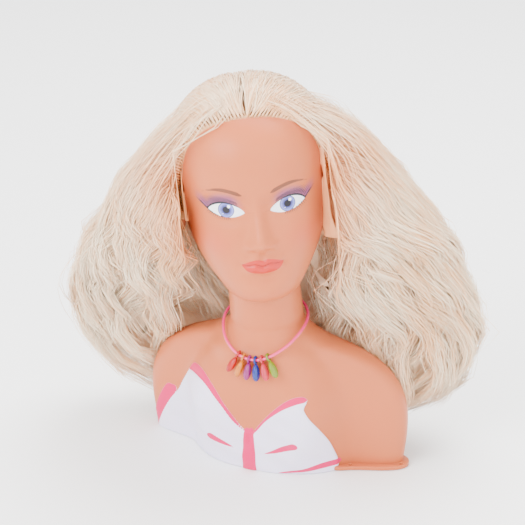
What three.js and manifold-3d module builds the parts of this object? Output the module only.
// Toy hairdressing head: a hollow vinyl head with rooted hair, snapped onto the neck of a hollow bust.
// The bust has a moulded bow bodice, and a cord with six drop charms hangs round the neck.
// Units are millimetres. +Z is up, the bust faces -Y, and +X is the figure's own left side.
// The origin is on the underside of the base plate, in the middle of the shoulders' width.
// The head is stored turned to its own left; everything it carries hangs in that position.

import * as THREE from "three";
import { mergeVertices } from "three/addons/utils/BufferGeometryUtils.js";
import Module from "manifold-3d";

const wasm = await Module();
wasm.setup();

// ---------------------------------------------------------------- driving dimensions

const GAP = 0.3; // between two pieces that only touch
const WALL = 3; // moulded wall of the head and of the bust

const BUST_WIDTH = 166; // over the shoulders
const BUST_DEPTH = 78; // chest to back
const BUST_HEIGHT = 88; // base to the foot of the neck

const NECK_RADIUS = 21;
const NECK_LENGTH = 44; // foot of the neck to its top face, along its axis
const NECK_LEAN = THREE.MathUtils.degToRad(15); // forward, from upright

const HEAD_WIDTH = 86; // over the temples
const HEAD_DEPTH = 98; // forehead to the back of the skull
const HEAD_HEIGHT = 118; // chin level to crown
const HEAD_TURN = THREE.MathUtils.degToRad(24); // stored turn, towards the figure's own left
const HEAD_SET_BACK = THREE.MathUtils.degToRad(17); // skull axis behind the neck axis
const NECK_IN_HEAD = 14; // how far the neck reaches up into the head

const HAIR_THICKNESS = 12; // over the crown
const HAIR_SPREAD = 266; // across both falls
const HAIR_HEM = 16; // lowest ends above the base

const CORD_DIAMETER = 1.8;
const CHARM_DROP_LENGTH = 11;
const CHARM_DROP_WIDTH = 6; // front to back
const CHARM_DROP_THICKNESS = 4.8; // along the cord
const CHARM_RING_RADIUS = 2.0; // to the middle of the ring's own section
const CHARM_RING_SECTION = 0.7; // radius of that section

const PLATE_THICKNESS = 5;
const LEDGE_DEPTH = 7; // flange inside the bust that the base plate screws up to
const LEDGE_THICKNESS = 6;
const SCREW_RADIUS = 1.4;
const SCREW_HEAD_RADIUS = 3;
const SCREW_HEAD_HEIGHT = 2;
const SCREW_LENGTH = 9;
const CUP_RADIUS = 8.5;
const CUP_HEIGHT = 3; // lip to the back of the disc
const CUP_STEM_RADIUS = 2;

const PLUG_STEM_RADIUS = 12.6;
const PLUG_GROOVE_RADIUS = 11;
const PLUG_KNOB_RADIUS = 15;
const PLUG_FLANGE_RADIUS = 17;
const LIP_THICKNESS = 4.4; // ring of the head that rides in the plug's groove

const TAB_THICKNESS = 2.5;
const TAB_REACH = 5.5; // out from the base
const TAB_HOLE_RADIUS = 1.1;

const AROUND = 44; // points round the head and the bust

// ---------------------------------------------------------------- sculpted outlines

// Bust, from base to neck foot, before it is scaled to the driving sizes. Each row is: height, middle
// of the section (front to back), torso half width, torso front, torso back, shoulder half width,
// shoulder half depth, and how far each breast stands out. Fronts and backs count from the middle.
const BUST_OUTLINE = [
  [0, 8, 51, 39, 26, 80, 15, 0],
  [14, 7, 51, 41, 28, 82, 17, 4],
  [30, 6, 54, 42, 30, 83, 19, 8],
  [45, 5, 54, 44.5, 32, 81, 20, 7],
  [58, 3, 50, 44.5, 33, 75, 20, 3],
  [68, 0, 44, 41.5, 31, 66, 19, 0],
  [76, -3.5, 36, 37.5, 27, 53, 17, 0],
  [82, -7, 30, 33, 23.5, 38, 16, 0],
  [87, -11, 25.5, 27.5, 21.5, 27, 18, 0],
];
const [RISE, MIDDLE, TORSO, FRONT, BACK, SHOULDER, SLAB, BREAST] = [0, 1, 2, 3, 4, 5, 6, 7];

// Head, from crown to jaw, before scaling. Each row is one nearly level section: its front point
// (y, z), its back point (y, z), its half width, and how much its front narrows.
const HEAD_OUTLINE = [
  [-14, 115.5, 18, 115, 17, 0],
  [-29, 109, 34, 107.5, 30, 0],
  [-39.5, 99, 44, 97, 38.5, 0.04],
  [-44, 87, 50.5, 85, 42.3, 0.08],
  [-44.6, 75, 53, 73, 43, 0.1],
  [-42.4, 66, 52.5, 63, 42.8, 0.12],
  [-41.4, 58, 51, 56, 42.3, 0.13],
  [-41.8, 50, 48.5, 50, 41.5, 0.14],
  [-42, 42, 45, 44.5, 40.5, 0.15],
  [-41.8, 35, 41, 39.5, 39, 0.17],
  [-41.2, 28, 37, 35, 37, 0.2],
  [-40, 21, 33, 31, 34.6, 0.24],
  [-39.4, 14, 29.5, 27, 31.6, 0.28],
  [-38.4, 8, 27, 23, 28.6, 0.32],
  [-35.5, 3.5, 25, 19, 26, 0.3],
  [-30.5, 1, 23.6, 16, 24, 0.2],
];

// Free hair, from top to hem. Each row is: height share from hem to top, half width share, middle of
// the section (x, y), its half depth, and the share of the head's turn that it follows.
const HAIR_OUTLINE = [
  [0.985, 0.18, -4, -21, 21, 1],
  [0.945, 0.32, -4, -19, 36, 1],
  [0.89, 0.42, -5, -15, 44, 1],
  [0.81, 0.53, -6, -10, 48, 1],
  [0.71, 0.65, -6, -5, 49, 0.95],
  [0.6, 0.77, -6, 2, 49, 0.85],
  [0.48, 0.88, -8, 12, 46, 0.7],
  [0.37, 0.95, -11, 22, 41, 0.5],
  [0.27, 1.0, -13, 30, 36, 0.35],
  [0.18, 0.99, -15, 33, 34, 0.25],
  [0.1, 0.93, -17, 34, 31, 0.2],
  [0.03, 0.8, -17, 33, 25, 0.2],
  [0.0, 0.62, -15, 32, 16, 0.2],
];

// ---------------------------------------------------------------- shared geometry helpers

// Smooth value of one column of an outline at a fractional row number.
function along(outline, column, place) {
  const last = outline.length - 1;
  const row = Math.max(0, Math.min(last - 1, Math.floor(place)));
  const t = place - row;
  const at = (index) => outline[Math.max(0, Math.min(last, index))][column];
  const [a, b, c, d] = [at(row - 1), at(row), at(row + 1), at(row + 2)];
  return b + 0.5 * t * (c - a + t * (2 * a - 5 * b + 4 * c - d + t * (3 * (b - c) + d - a)));
}

// Distance from the middle of a rounded section to its edge in one direction.
function lobe(angle, halfWidth, front, back, power) {
  const depth = Math.sin(angle) < 0 ? front : back;
  const across = Math.abs(Math.cos(angle)) / halfWidth;
  const deep = Math.abs(Math.sin(angle)) / depth;
  return (across ** power + deep ** power) ** (-1 / power);
}

// Closed mesh through a list of rings of equal length. A ring of one point is a pole. When both ends
// are rings and looped is true, the last ring joins the first.
function ringMesh(rings, looped) {
  const positions = [];
  const starts = rings.map((ring) => {
    const start = positions.length / 3;
    ring.forEach((point) => positions.push(point.x, point.y, point.z));
    return start;
  });
  const faces = [];
  const pairs = looped ? rings.length : rings.length - 1;
  for (let r = 0; r < pairs; r += 1) {
    const next = (r + 1) % rings.length;
    const count = Math.max(rings[r].length, rings[next].length);
    for (let k = 0; k < count; k += 1) {
      const wrap = (k + 1) % count;
      const a = starts[r] + (rings[r].length > 1 ? k : 0);
      const b = starts[r] + (rings[r].length > 1 ? wrap : 0);
      const c = starts[next] + (rings[next].length > 1 ? k : 0);
      const d = starts[next] + (rings[next].length > 1 ? wrap : 0);
      if (a !== b) faces.push(a, b, c);
      if (c !== d) faces.push(b, d, c);
    }
  }
  const geometry = new THREE.BufferGeometry();
  geometry.setAttribute("position", new THREE.Float32BufferAttribute(positions, 3));
  geometry.setIndex(faces);
  return outward(geometry);
}

// Same mesh with its faces turned outwards, judged by its signed volume.
function outward(geometry) {
  const place = geometry.attributes.position;
  const index = geometry.index.array;
  const [a, b, c] = [new THREE.Vector3(), new THREE.Vector3(), new THREE.Vector3()];
  let volume = 0;
  for (let i = 0; i < index.length; i += 3) {
    a.fromBufferAttribute(place, index[i]);
    b.fromBufferAttribute(place, index[i + 1]);
    c.fromBufferAttribute(place, index[i + 2]);
    volume += a.dot(b.cross(c));
  }
  if (volume < 0) {
    for (let i = 0; i < index.length; i += 3) {
      [index[i], index[i + 1]] = [index[i + 1], index[i]];
    }
  }
  return geometry;
}

// Manifold solid from a closed three.js geometry, placed by an optional matrix.
function solid(geometry, matrix) {
  const bare = geometry.clone();
  bare.deleteAttribute("normal");
  bare.deleteAttribute("uv");
  const merged = mergeVertices(bare, 1e-4);
  if (matrix) merged.applyMatrix4(matrix);
  return new wasm.Manifold(new wasm.Mesh({
    numProp: 3,
    vertProperties: new Float32Array(merged.attributes.position.array),
    triVerts: new Uint32Array(merged.index.array),
  }));
}

// three.js geometry from a manifold solid.
function geometryOf(body) {
  const mesh = body.getMesh();
  const geometry = new THREE.BufferGeometry();
  geometry.setAttribute("position", new THREE.BufferAttribute(mesh.vertProperties, 3));
  geometry.setIndex(new THREE.BufferAttribute(mesh.triVerts, 1));
  return geometry;
}

// The largest separate piece of a solid that a cut may have split.
function largest(body) {
  const pieces = body.decompose();
  return pieces.reduce((best, piece) => (piece.volume() > best.volume() ? piece : best));
}

// Solid of revolution about +Z from [radius, height] points.
function turned(points, sides) {
  const profile = points.map(([radius, height]) => new THREE.Vector2(radius, height));
  return outward(new THREE.LatheGeometry(profile, sides).rotateX(Math.PI / 2));
}

// Upright cylinder solid from one height to another.
function post(x, y, low, high, radius, sides) {
  const geometry = new THREE.CylinderGeometry(radius, radius, high - low, sides);
  geometry.rotateX(Math.PI / 2);
  geometry.translate(x, y, (low + high) / 2);
  return solid(geometry);
}

function paint(colour, roughness) {
  return new THREE.MeshStandardMaterial({ color: colour, roughness, metalness: 0 });
}

function named(name, geometry, material) {
  const mesh = new THREE.Mesh(geometry, material);
  mesh.name = name;
  return mesh;
}

const VINYL = paint("#e3b08c", 0.45);
const INNER_PLASTIC = paint("#d8d4cc", 0.5);
const STEEL = new THREE.MeshStandardMaterial({ color: "#b9bcc0", roughness: 0.35, metalness: 1 });
const RUBBER = paint("#d9dee2", 0.3);
const HAIR = paint("#f3e2c4", 0.5);
const GLUE = paint("#e8dfc8", 0.6);
const CORD = paint("#f07fa6", 0.3);

// ---------------------------------------------------------------- frames of the neck and the head

const NECK_FOOT = new THREE.Vector3(0, -13, BUST_HEIGHT);
const NECK_DIRECTION = new THREE.Vector3(0, -Math.sin(NECK_LEAN), Math.cos(NECK_LEAN));
const NECK_TOP = NECK_FOOT.clone().addScaledVector(NECK_DIRECTION, NECK_LENGTH);

// Neck frame: origin at the middle of the neck's top face, +Z along the neck.
const neckFrame = new THREE.Matrix4().makeRotationX(NECK_LEAN).setPosition(NECK_TOP);

// Head frame: origin on the neck axis at chin level, +Z up the skull, -Y out of the face.
const headInNeck = new THREE.Matrix4().makeTranslation(0, 0, -NECK_IN_HEAD);
headInNeck.multiply(new THREE.Matrix4().makeRotationZ(HEAD_TURN));
headInNeck.multiply(new THREE.Matrix4().makeRotationX(-HEAD_SET_BACK));
const headFrame = neckFrame.clone().multiply(headInNeck);
const neckInHead = headInNeck.clone().invert();

// Hair frame: upright, turned with the head, below the middle of the neck's top.
const hairFrame = new THREE.Matrix4().makeRotationZ(HEAD_TURN);
hairFrame.setPosition(NECK_TOP.x, NECK_TOP.y, 0);

// Angles once round a section. A bias above 0 sets them closer together at the two sides.
function anglesRound(bias) {
  return Array.from({ length: AROUND }, (_, k) => {
    const even = (2 * Math.PI * k) / AROUND;
    return even - (bias / 2) * Math.sin(2 * even);
  });
}

const BUST_ANGLES = anglesRound(0.6);
const HEAD_ANGLES = anglesRound(0);

function circle(radius, height, angles, frame) {
  return angles.map((angle) => {
    const point = new THREE.Vector3(radius * Math.cos(angle), radius * Math.sin(angle), height);
    return frame ? point.applyMatrix4(frame) : point;
  });
}

// ---------------------------------------------------------------- bust

const bustWide = BUST_WIDTH / 166;
const bustDeep = BUST_DEPTH / 78;
const bustTall = BUST_HEIGHT / 88;

// Row number of the bust outline at one height.
function bustPlace(height) {
  const rise = height / bustTall;
  const above = BUST_OUTLINE.findIndex((row) => row[RISE] > rise);
  const row = above < 0 ? BUST_OUTLINE.length - 2 : above - 1;
  const [low, high] = [BUST_OUTLINE[row][RISE], BUST_OUTLINE[row + 1][RISE]];
  return row + (rise - low) / (high - low);
}

// Edge of the bust at one height and angle, stepped in by inset; angle 0 is +X and -90 degrees is front.
function bustEdge(height, angle, inset) {
  const place = bustPlace(height);
  const value = (column) => along(BUST_OUTLINE, column, place);
  const torso = lobe(
    angle,
    value(TORSO) * bustWide - inset,
    value(FRONT) * bustDeep - inset,
    value(BACK) * bustDeep - inset,
    2.2,
  );
  const slabDepth = value(SLAB) * bustDeep - inset;
  const slab = lobe(angle, value(SHOULDER) * bustWide - inset, slabDepth, slabDepth, 2.4);
  const sideways = Math.abs(Math.atan2(Math.cos(angle), -Math.sin(angle)));
  const breast = value(BREAST) * bustDeep * Math.exp(-(((sideways - 0.62) / 0.3) ** 2));
  const reach = (torso ** 9 + slab ** 9) ** (1 / 9) + breast;
  const middle = value(MIDDLE) * bustDeep;
  return new THREE.Vector3(reach * Math.cos(angle), middle + reach * Math.sin(angle), height);
}

function bustRing(height, inset) {
  return BUST_ANGLES.map((angle) => bustEdge(height, angle, inset));
}

// Neck ring at a distance below the neck's top, flaring towards the shoulders.
function neckRing(below, inset) {
  const share = below / NECK_LENGTH;
  const flare = 1 + 0.02 * share + 0.1 * share ** 4;
  const tilt = new THREE.Matrix4().makeRotationX(NECK_LEAN * Math.min(1, 1.9 * (1 - share)));
  const middle = NECK_TOP.clone().addScaledVector(NECK_DIRECTION, -below);
  tilt.setPosition(middle);
  return circle(NECK_RADIUS * flare - inset, 0, BUST_ANGLES, tilt);
}

const BUST_LEVELS = [0, 10, 22, 34, 45, 54, 62, 69, 75, 80, 84].map((level) => level * bustTall);
const NECK_LEVELS = [NECK_LENGTH * 0.86, NECK_LENGTH * 0.68, NECK_LENGTH * 0.35, 0];
const INNER_NECK_LEVELS = [NECK_LENGTH * 0.35, NECK_LENGTH * 0.68, NECK_LENGTH * 0.86];
const INNER_LEVELS = [84, 80, 75, 69, 62, 54, 45, 30, 18].map((level) => level * bustTall);

// Flat ear at the foot of the left side, with two holes for a tie.
const TAB_START = -0.5; // angle round the base
const TAB_SPAN = 0.62;
const TAB_STEPS = 12;

function tieTabEdge(step, out) {
  return bustEdge(0, TAB_START + (TAB_SPAN * step) / TAB_STEPS, -out);
}

function tieTab() {
  const steps = Array.from({ length: TAB_STEPS + 1 }, (_, k) => k);
  const outer = steps.map((k) => {
    const out = TAB_REACH * Math.sin((Math.PI * k) / TAB_STEPS) ** 0.4;
    return tieTabEdge(k, Math.max(out, 0.2));
  });
  const inner = steps.map((k) => tieTabEdge(TAB_STEPS - k, -WALL / 2));
  const outline = new THREE.Shape([...outer, ...inner].map(({ x, y }) => new THREE.Vector2(x, y)));
  const plate = new THREE.ExtrudeGeometry(outline, { depth: TAB_THICKNESS, bevelEnabled: false });
  let tab = solid(plate);
  for (const step of [3.5, 8.5]) {
    const hole = tieTabEdge(step, TAB_REACH * 0.45);
    tab = tab.subtract(post(hole.x, hole.y, -1, TAB_THICKNESS + 1, TAB_HOLE_RADIUS, 10));
  }
  return tab;
}

// Screws sit under the middle of the ledge, at the front, left, back and right.
const SCREW_INSET = WALL + LEDGE_DEPTH - SCREW_HEAD_RADIUS + 0.2;
const SCREW_PLACES = [-90, 0, 90, 180].map((degrees) => {
  const { x, y } = bustEdge(0, THREE.MathUtils.degToRad(degrees), SCREW_INSET);
  return [x, y];
});
const CUP_PLACES = [
  [22 * bustWide, -7 * bustDeep],
  [-22 * bustWide, -7 * bustDeep],
  [54 * bustWide, 8 * bustDeep],
  [-54 * bustWide, 8 * bustDeep],
];

function bustShell() {
  const ledgeLow = PLATE_THICKNESS + GAP;
  const ledgeHigh = ledgeLow + LEDGE_THICKNESS;
  const stem = PLUG_STEM_RADIUS + 2 * GAP;
  const rings = [
    ...BUST_LEVELS.map((level) => bustRing(level, 0)),
    ...NECK_LEVELS.map((below) => neckRing(below, 0)),
    circle(stem, 0, BUST_ANGLES, neckFrame),
    circle(stem, -WALL, BUST_ANGLES, neckFrame),
    neckRing(WALL, WALL),
    ...INNER_NECK_LEVELS.map((below) => neckRing(below, WALL)),
    ...INNER_LEVELS.map((level) => bustRing(level, WALL)),
    bustRing(ledgeHigh, WALL + LEDGE_DEPTH),
    bustRing(ledgeLow, WALL + LEDGE_DEPTH),
    bustRing(ledgeLow, WALL),
    bustRing(0, WALL),
  ];
  let shell = solid(ringMesh(rings, true)).add(tieTab());
  for (const [x, y] of SCREW_PLACES) {
    shell = shell.subtract(post(x, y, 0, SCREW_LENGTH + 1, SCREW_RADIUS + GAP, 10));
  }
  return named("bust_shell", geometryOf(largest(shell)), VINYL);
}

function basePlate() {
  const inset = WALL + GAP;
  const rings = [
    [new THREE.Vector3(0, 0, 0)],
    bustRing(0, inset),
    bustRing(0, inset).map((point) => point.clone().setZ(PLATE_THICKNESS)),
    [new THREE.Vector3(0, 0, PLATE_THICKNESS)],
  ];
  let plate = solid(ringMesh(rings, false));
  const through = PLATE_THICKNESS + 1;
  for (const [x, y] of SCREW_PLACES) {
    plate = plate.subtract(post(x, y, -1, through, SCREW_RADIUS + GAP, 10));
    plate = plate.subtract(post(x, y, -1, SCREW_HEAD_HEIGHT + 2 * GAP, SCREW_HEAD_RADIUS + GAP, 10));
  }
  for (const [x, y] of CUP_PLACES) {
    plate = plate.subtract(post(x, y, -1, through, CUP_STEM_RADIUS + GAP, 10));
    plate = plate.subtract(post(x, y, -1, CUP_HEIGHT + GAP, CUP_RADIUS + 2 * GAP, 14));
  }
  return named("base_plate", geometryOf(plate), INNER_PLASTIC);
}

function baseScrew(index, [x, y]) {
  const foot = GAP;
  const geometry = turned([
    [0, foot],
    [SCREW_HEAD_RADIUS, foot],
    [SCREW_HEAD_RADIUS, foot + SCREW_HEAD_HEIGHT],
    [SCREW_RADIUS, foot + SCREW_HEAD_HEIGHT],
    [SCREW_RADIUS, SCREW_LENGTH],
    [0, SCREW_LENGTH + 0.8],
  ], 10);
  geometry.translate(x, y, 0);
  return named(`base_screw_${index}`, geometry, STEEL);
}

function suctionCup(index, [x, y]) {
  const top = PLATE_THICKNESS + GAP;
  const geometry = turned([
    [0, 2],
    [CUP_RADIUS * 0.6, 1.4],
    [CUP_RADIUS - 0.6, 0],
    [CUP_RADIUS, 0],
    [CUP_RADIUS * 0.6, CUP_HEIGHT],
    [CUP_STEM_RADIUS, CUP_HEIGHT],
    [CUP_STEM_RADIUS, top],
    [CUP_STEM_RADIUS + 1.3, top],
    [0, top + 1.6],
  ], 14);
  geometry.translate(x, y, 0);
  return named(`suction_cup_${index}`, geometry, RUBBER);
}

// ---------------------------------------------------------------- neck joint

const PLUG_FLANGE_TOP = 3;
const LIP_LOW = PLUG_FLANGE_TOP + GAP;
const LIP_HIGH = LIP_LOW + LIP_THICKNESS;
const KNOB_LOW = LIP_HIGH + GAP;
const KNOB_HIGH = KNOB_LOW + 6;
const NECK_SCREW_RADIUS = 1.6;
const NECK_SCREW_TOP = 8;
const NECK_SCREW_HEAD = [3.4, 2.2]; // radius and height
const WASHER_THICKNESS = 1.5;

// Snap knob that the head turns on; its stem fills the hole in the neck's top.
function neckPlug() {
  const bore = NECK_SCREW_RADIUS + GAP;
  const geometry = turned([
    [0, KNOB_HIGH],
    [PLUG_KNOB_RADIUS - 2, KNOB_HIGH],
    [PLUG_KNOB_RADIUS, KNOB_HIGH - 2],
    [PLUG_KNOB_RADIUS, KNOB_LOW],
    [PLUG_GROOVE_RADIUS, KNOB_LOW],
    [PLUG_GROOVE_RADIUS, PLUG_FLANGE_TOP],
    [PLUG_FLANGE_RADIUS, PLUG_FLANGE_TOP],
    [PLUG_FLANGE_RADIUS, GAP],
    [PLUG_STEM_RADIUS, GAP],
    [PLUG_STEM_RADIUS, -WALL],
    [bore, -WALL],
    [bore, NECK_SCREW_TOP + 1],
    [0, NECK_SCREW_TOP + 1],
  ], 20);
  return named("neck_plug", geometry, INNER_PLASTIC);
}

function neckWasher() {
  const high = -WALL - GAP;
  const hole = NECK_SCREW_RADIUS + GAP;
  const rim = PLUG_STEM_RADIUS + 3;
  const low = high - WASHER_THICKNESS;
  const geometry = turned([[hole, low], [rim, low], [rim, high], [hole, high], [hole, low]], 16);
  return named("neck_washer", geometry, STEEL);
}

function neckScrew() {
  const seat = -WALL - 2 * GAP - WASHER_THICKNESS;
  const [headRadius, headHeight] = NECK_SCREW_HEAD;
  const geometry = turned([
    [0, seat - headHeight],
    [headRadius, seat - headHeight],
    [headRadius, seat],
    [NECK_SCREW_RADIUS, seat],
    [NECK_SCREW_RADIUS, NECK_SCREW_TOP],
    [0, NECK_SCREW_TOP],
  ], 12);
  return named("neck_screw", geometry, STEEL);
}

// ---------------------------------------------------------------- head

const headWide = HEAD_WIDTH / 86;
const headDeep = HEAD_DEPTH / 98;
const headTall = HEAD_HEIGHT / 118;

// Soft bump: 1 in the middle, fading over the given half sizes.
function bump(x, z, middleX, middleZ, sizeX, sizeZ) {
  return Math.exp(-(((x - middleX) / sizeX) ** 2) - ((z - middleZ) / sizeZ) ** 2);
}

// How far the face stands out from the plain section at a place on its front, x across and z up.
function faceRelief(x, z) {
  const aside = Math.abs(x);
  const bridge = 2.4 * bump(aside, z, 0, 55, 5, 9);
  const nose = 7 * bump(aside, z, 0, 42, 6, 7);
  const socket = -3.4 * bump(aside, z, 17, 60, 10, 6.5);
  const brow = 1.2 * bump(aside, z, 18, 71, 13, 4);
  const cheek = 2.2 * bump(aside, z, 24, 42, 11, 11);
  const lips = 2.6 * bump(aside, z, 0, 27, 10, 4.5);
  const underLip = -1.4 * bump(aside, z, 0, 19.5, 9, 3.5);
  const chin = 1.6 * bump(aside, z, 0, 11, 9, 5);
  return bridge + nose + socket + brow + cheek + lips + underLip + chin;
}

// One section of the head as points, stepped in by inset.
function headRing(place, inset, plain) {
  const value = (column) => along(HEAD_OUTLINE, column, place);
  const front = new THREE.Vector2(value(0) * headDeep, value(1) * headTall);
  const back = new THREE.Vector2(value(2) * headDeep, value(3) * headTall);
  const middle = front.clone().add(back).multiplyScalar(0.5);
  const reach = front.distanceTo(back) / 2 - inset;
  const run = front.clone().sub(back).normalize();
  const half = value(4) * headWide - inset;
  const narrow = value(5);
  return HEAD_ANGLES.map((angle) => {
    const forward = -Math.sin(angle);
    const edge = lobe(angle, 1, 1, 1, 2.25);
    const x = half * edge * Math.cos(angle) * (1 - narrow * Math.max(0, forward) ** 0.8 * 0.55);
    const depth = reach * edge * forward;
    const y = middle.x + run.x * depth;
    const z = middle.y + run.y * depth;
    const facing = plain ? 0 : Math.max(0, forward) ** 0.6;
    const ear = plain ? 0 : 4.2 * bump(y, z, 8, 54, 8, 12) * (Math.abs(Math.cos(angle)) > 0.6 ? 1 : 0);
    const out = facing * faceRelief(x / headWide, z / headTall);
    return new THREE.Vector3(x + Math.sign(x) * ear, y - out, z);
  });
}

const HEAD_PLACES = Array.from({ length: HEAD_OUTLINE.length }, (_, k) => k);
const HEAD_INNER_PLACES = [11, 9, 7, 5, 3.5, 2, 1];
const RECESS_RADIUS = NECK_RADIUS + 0.8;
const RECESS_EDGE = 8.4 - NECK_IN_HEAD; // height of the recess's mouth in the neck frame

function crownPole(inset) {
  return [new THREE.Vector3(0, 3 * headDeep, HEAD_HEIGHT - inset)];
}

function headShell() {
  const rings = [
    crownPole(0),
    ...HEAD_PLACES.map((place) => headRing(place, 0, false)),
    circle(RECESS_RADIUS, RECESS_EDGE, HEAD_ANGLES, neckInHead),
    circle(RECESS_RADIUS, LIP_LOW, HEAD_ANGLES, neckInHead),
    circle(PLUG_GROOVE_RADIUS + 0.5, LIP_LOW, HEAD_ANGLES, neckInHead),
    circle(PLUG_GROOVE_RADIUS + 0.5, LIP_HIGH, HEAD_ANGLES, neckInHead),
    circle(PLUG_KNOB_RADIUS + 3, LIP_HIGH, HEAD_ANGLES, neckInHead),
    ...HEAD_INNER_PLACES.map((place) => headRing(place, WALL, true)),
    crownPole(WALL),
  ];
  return named("head_shell", ringMesh(rings, false), VINYL);
}

const GLUE_THICKNESS = 1.4;

// Layer of glue inside the scalp that holds the hair roots.
function rootGlue() {
  const [outer, inner] = [WALL + GAP, WALL + GAP + GLUE_THICKNESS];
  const rings = [
    crownPole(outer),
    ...[1, 2, 3.5].map((place) => headRing(place, outer, true)),
    ...[3.5, 2, 1].map((place) => headRing(place, inner, true)),
    crownPole(inner),
  ];
  return named("root_glue", ringMesh(rings, false), GLUE);
}

// ---------------------------------------------------------------- hair

const HAIR_TOP = new THREE.Vector3(0, 0, HEAD_HEIGHT + HAIR_THICKNESS).applyMatrix4(headFrame).z;
const HAIR_CLEAR_OF_HEAD = 0.8;
const HAIR_CLEAR_OF_BUST = CORD_DIAMETER + 5; // room for the cord and its joiner behind the neck
const HAIR_SPLIT = 0.4; // between two sections
const HAIR_CAP = 34; // height of the crown section
const HAIR_SIDES = 36;

function hairRing([rise, width, x, y, depth, turn]) {
  const height = HAIR_HEM + rise * (HAIR_TOP - HAIR_HEM);
  const half = (HAIR_SPREAD / 2) * width;
  const frame = new THREE.Matrix4().makeRotationZ(HEAD_TURN * turn);
  frame.setPosition(x * headWide, y * headDeep, height);
  return Array.from({ length: HAIR_SIDES }, (_, k) => {
    const angle = (2 * Math.PI * k) / HAIR_SIDES;
    const edge = lobe(angle, half, depth * headDeep, depth * headDeep, 2.3);
    return new THREE.Vector3(edge * Math.cos(angle), edge * Math.sin(angle), 0).applyMatrix4(frame);
  });
}

// Whole free volume of the hair.
function hairVolume() {
  const rings = HAIR_OUTLINE.map(hairRing);
  const poleOf = (ring, height) => {
    const middle = ring.reduce((sum, point) => sum.add(point), new THREE.Vector3());
    return [middle.divideScalar(ring.length).setZ(height)];
  };
  const top = poleOf(rings[0], HAIR_TOP);
  const hem = poleOf(rings[rings.length - 1], HAIR_HEM);
  return solid(ringMesh([top, ...rings, hem], false));
}

function slab(x, y, z, width, depth, height) {
  const box = new THREE.BoxGeometry(width, depth, height);
  box.translate(x, y, z);
  return solid(box, hairFrame);
}

// Everything in front of the hairline, a plane that leans forward from the ears to the forehead.
const HAIRLINE_EARS = [-5, 58]; // y and z in the head frame
const HAIRLINE_TOP = [-27, 109];

function faceOpening() {
  const low = new THREE.Vector2(HAIRLINE_EARS[0] * headDeep, HAIRLINE_EARS[1] * headTall);
  const high = new THREE.Vector2(HAIRLINE_TOP[0] * headDeep, HAIRLINE_TOP[1] * headTall);
  const size = 2 * HEAD_HEIGHT;
  const box = new THREE.BoxGeometry(HEAD_WIDTH + 8, size, size);
  box.translate(0, -size / 2, size / 4);
  box.rotateX(Math.atan2(low.x - high.x, high.y - low.y));
  box.translate(0, low.x, low.y);
  return solid(box, headFrame);
}

// Open space in front of the neck: x, y, z of its middle, then its width, depth and height.
const HAIR_THROAT = [0, -58, 75, 76, 120, 150];

// The plain outer forms of the head and the bust, swollen to leave the hair clear of them.
function hairKeepOut() {
  const swollen = [0, 1, 2, 3, 4, 5, 6, 7, 8, 9, 11, 13, 15].map((place) =>
    headRing(place, -HAIR_CLEAR_OF_HEAD, false));
  const crown = crownPole(-HAIR_CLEAR_OF_HEAD);
  const under = [new THREE.Vector3(0, 0, 6)];
  const head = solid(ringMesh([crown, ...swollen, under], false), headFrame);
  const bustRings = [
    [new THREE.Vector3(0, 0, -10)],
    ...BUST_LEVELS.map((level) => bustRing(level, -HAIR_CLEAR_OF_BUST)),
    ...NECK_LEVELS.map((below) => neckRing(below, -HAIR_CLEAR_OF_BUST)),
    [NECK_TOP],
  ];
  const bust = solid(ringMesh(bustRings, false));
  const throat = slab(...HAIR_THROAT);
  return head.add(bust).add(throat).add(faceOpening());
}

// Sections as a hairdresser parts them: a crown cap, then falls cut by upright planes.
function hairSections() {
  const free = hairVolume().subtract(hairKeepOut());
  const capLow = HAIR_TOP - HAIR_CAP * headTall;
  const reach = HAIR_SPREAD;
  const above = slab(0, 0, capLow + reach, 2 * reach, 2 * reach, 2 * reach);
  const belowCap = slab(0, 0, capLow - HAIR_SPLIT - reach, 2 * reach, 2 * reach, 2 * reach);
  const falls = free.intersect(belowCap);
  const parts = [["hair_crown", free.intersect(above)]];
  const splitX = 44 * headWide;
  const splitY = 24 * headDeep;
  for (const [side, sign] of [["left", 1], ["right", -1]]) {
    const half = (near, far, low, high) => slab(
      sign * (near + far) / 2, (low + high) / 2, 0,
      far - near, high - low, 2 * reach,
    );
    const edge = HAIR_SPLIT / 2;
    parts.push([`hair_back_${side}`, falls.intersect(half(edge, splitX - edge, splitY + edge, reach))]);
    parts.push([`hair_outer_${side}`, falls.intersect(half(splitX + edge, reach, splitY + edge, reach))]);
    parts.push([`hair_front_${side}`, falls.intersect(half(edge, reach, -reach, splitY - edge))]);
  }
  return parts.map(([name, body]) => named(name, geometryOf(largest(body)), HAIR));
}

// ---------------------------------------------------------------- necklace

// Middle line of the cord, starting and ending in the joiner at the nape.
const CORD_ROUTE = [
  [3.0, 8.4, 101.5],
  [9.6, 6.8, 101.0],
  [15.6, 2.8, 100.2],
  [20.4, -2.8, 99.0],
  [23.6, -9.2, 97.5],
  [25.0, -15.8, 95.8],
  [24.8, -22.4, 93.6],
  [23.2, -28.6, 90.9],
  [20.6, -34.2, 87.9],
  [16.6, -38.8, 84.8],
  [12.0, -42.0, 82.0],
  [7.0, -44.0, 80.0],
  [1.5, -44.6, 79.2],
  [-4.0, -44.2, 79.7],
  [-9.4, -42.8, 81.4],
  [-14.8, -39.7, 84.3],
  [-19.4, -35.0, 87.5],
  [-22.6, -29.1, 90.7],
  [-24.6, -22.6, 93.5],
  [-25.0, -15.9, 95.8],
  [-23.6, -9.2, 97.5],
  [-20.4, -2.8, 99.0],
  [-15.6, 2.8, 100.2],
  [-9.6, 6.8, 101.0],
  [-3.0, 8.4, 101.5],
];
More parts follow.
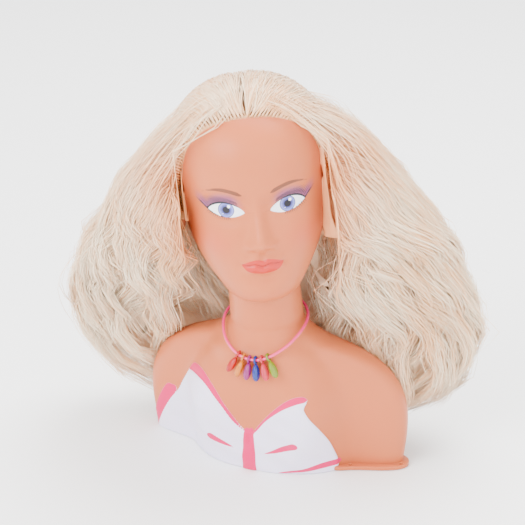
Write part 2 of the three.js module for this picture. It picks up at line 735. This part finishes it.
const cordCurve = new THREE.CatmullRomCurve3(
  CORD_ROUTE.map(([x, y, z]) => new THREE.Vector3(x, y, z)),
  false,
  "centripetal",
);

function necklaceCord() {
  const section = new THREE.Shape();
  const sides = 8;
  for (let k = 0; k < sides; k += 1) {
    const angle = (2 * Math.PI * k) / sides;
    const [x, y] = [(CORD_DIAMETER / 2) * Math.cos(angle), (CORD_DIAMETER / 2) * Math.sin(angle)];
    if (k === 0) section.moveTo(x, y);
    else section.lineTo(x, y);
  }
  const options = { steps: 40, extrudePath: cordCurve, bevelEnabled: false };
  return named("necklace_cord", new THREE.ExtrudeGeometry(section, options), CORD);
}

// Moulded bead that both ends of the cord are pressed into, behind the neck.
function cordJoiner() {
  const half = Math.abs(CORD_ROUTE[0][0]) - GAP;
  const geometry = turned([[0, -half], [1.3, -half], [1.7, -1], [1.7, 1], [1.3, half], [0, half]], 12);
  geometry.rotateY(Math.PI / 2);
  const [, y, z] = CORD_ROUTE[0];
  geometry.translate(0, y, z);
  return named("cord_joiner", geometry, CORD);
}

const CHARM_SPACING = 3.9; // ring to ring along the cord
const CHARM_FAN = THREE.MathUtils.degToRad(11); // from each charm to the next
const CHARMS = [
  ["charm_red", "#d8242c"],
  ["charm_amber", "#f2b63a"],
  ["charm_purple", "#b65aa6"],
  ["charm_blue", "#3d68b4"],
  ["charm_coral", "#f4667a"],
  ["charm_lime", "#a8bf2c"],
];

// Drop with a ring at its top, hanging down -Z from the ring's middle, its ring across the cord (+X).
function charmGeometry() {
  const ring = new THREE.TorusGeometry(CHARM_RING_RADIUS, CHARM_RING_SECTION, 6, 14).rotateY(Math.PI / 2);
  const top = -CHARM_RING_RADIUS - CHARM_RING_SECTION * 0.2;
  const radius = CHARM_DROP_WIDTH / 2;
  const drop = turned([
    [0, top],
    [radius * 0.4, top - CHARM_DROP_LENGTH * 0.08],
    [radius * 0.82, top - CHARM_DROP_LENGTH * 0.42],
    [radius, top - CHARM_DROP_LENGTH * 0.68],
    [radius * 0.72, top - CHARM_DROP_LENGTH * 0.92],
    [0, top - CHARM_DROP_LENGTH],
  ], 8);
  drop.scale(CHARM_DROP_THICKNESS / CHARM_DROP_WIDTH, 1, 1);
  return geometryOf(solid(ring).add(solid(drop)));
}

// Place and direction of each charm: its ring's middle on the cord, fanned in the chest's plane.
const CHARM_MIDDLE = 0.492; // share of the cord's length at the middle of the row of charms
const CHEST_SLOPE = THREE.MathUtils.degToRad(8);

function charmMeshes() {
  const length = cordCurve.getLength();
  return CHARMS.map(([name, colour], index) => {
    const step = index - (CHARMS.length - 1) / 2;
    const place = cordCurve.getPointAt(CHARM_MIDDLE - (step * CHARM_SPACING) / length);
    const material = paint(colour, 0.1);
    material.transparent = true;
    material.opacity = 0.8;
    const mesh = named(name, charmGeometry(), material);
    mesh.position.copy(place);
    mesh.rotation.set(-CHEST_SLOPE, -step * CHARM_FAN, 0, "ZXY");
    return mesh;
  });
}

// ---------------------------------------------------------------- assembly

const stylingHead = new THREE.Group();
stylingHead.add(bustShell(), basePlate());
SCREW_PLACES.forEach((place, index) => stylingHead.add(baseScrew(index + 1, place)));
CUP_PLACES.forEach((place, index) => stylingHead.add(suctionCup(index + 1, place)));

const neckGroup = new THREE.Group();
neckGroup.position.copy(NECK_TOP);
neckGroup.rotation.x = NECK_LEAN;
neckGroup.add(neckPlug(), neckWasher(), neckScrew());

const turnGroup = new THREE.Group();
turnGroup.position.z = -NECK_IN_HEAD;
turnGroup.rotation.z = HEAD_TURN;
const headGroup = new THREE.Group();
headGroup.rotation.x = -HEAD_SET_BACK;
headGroup.add(headShell(), rootGlue());
turnGroup.add(headGroup);
neckGroup.add(turnGroup);
stylingHead.add(neckGroup);

stylingHead.add(...hairSections());
stylingHead.add(necklaceCord(), cordJoiner(), ...charmMeshes());

export default stylingHead;
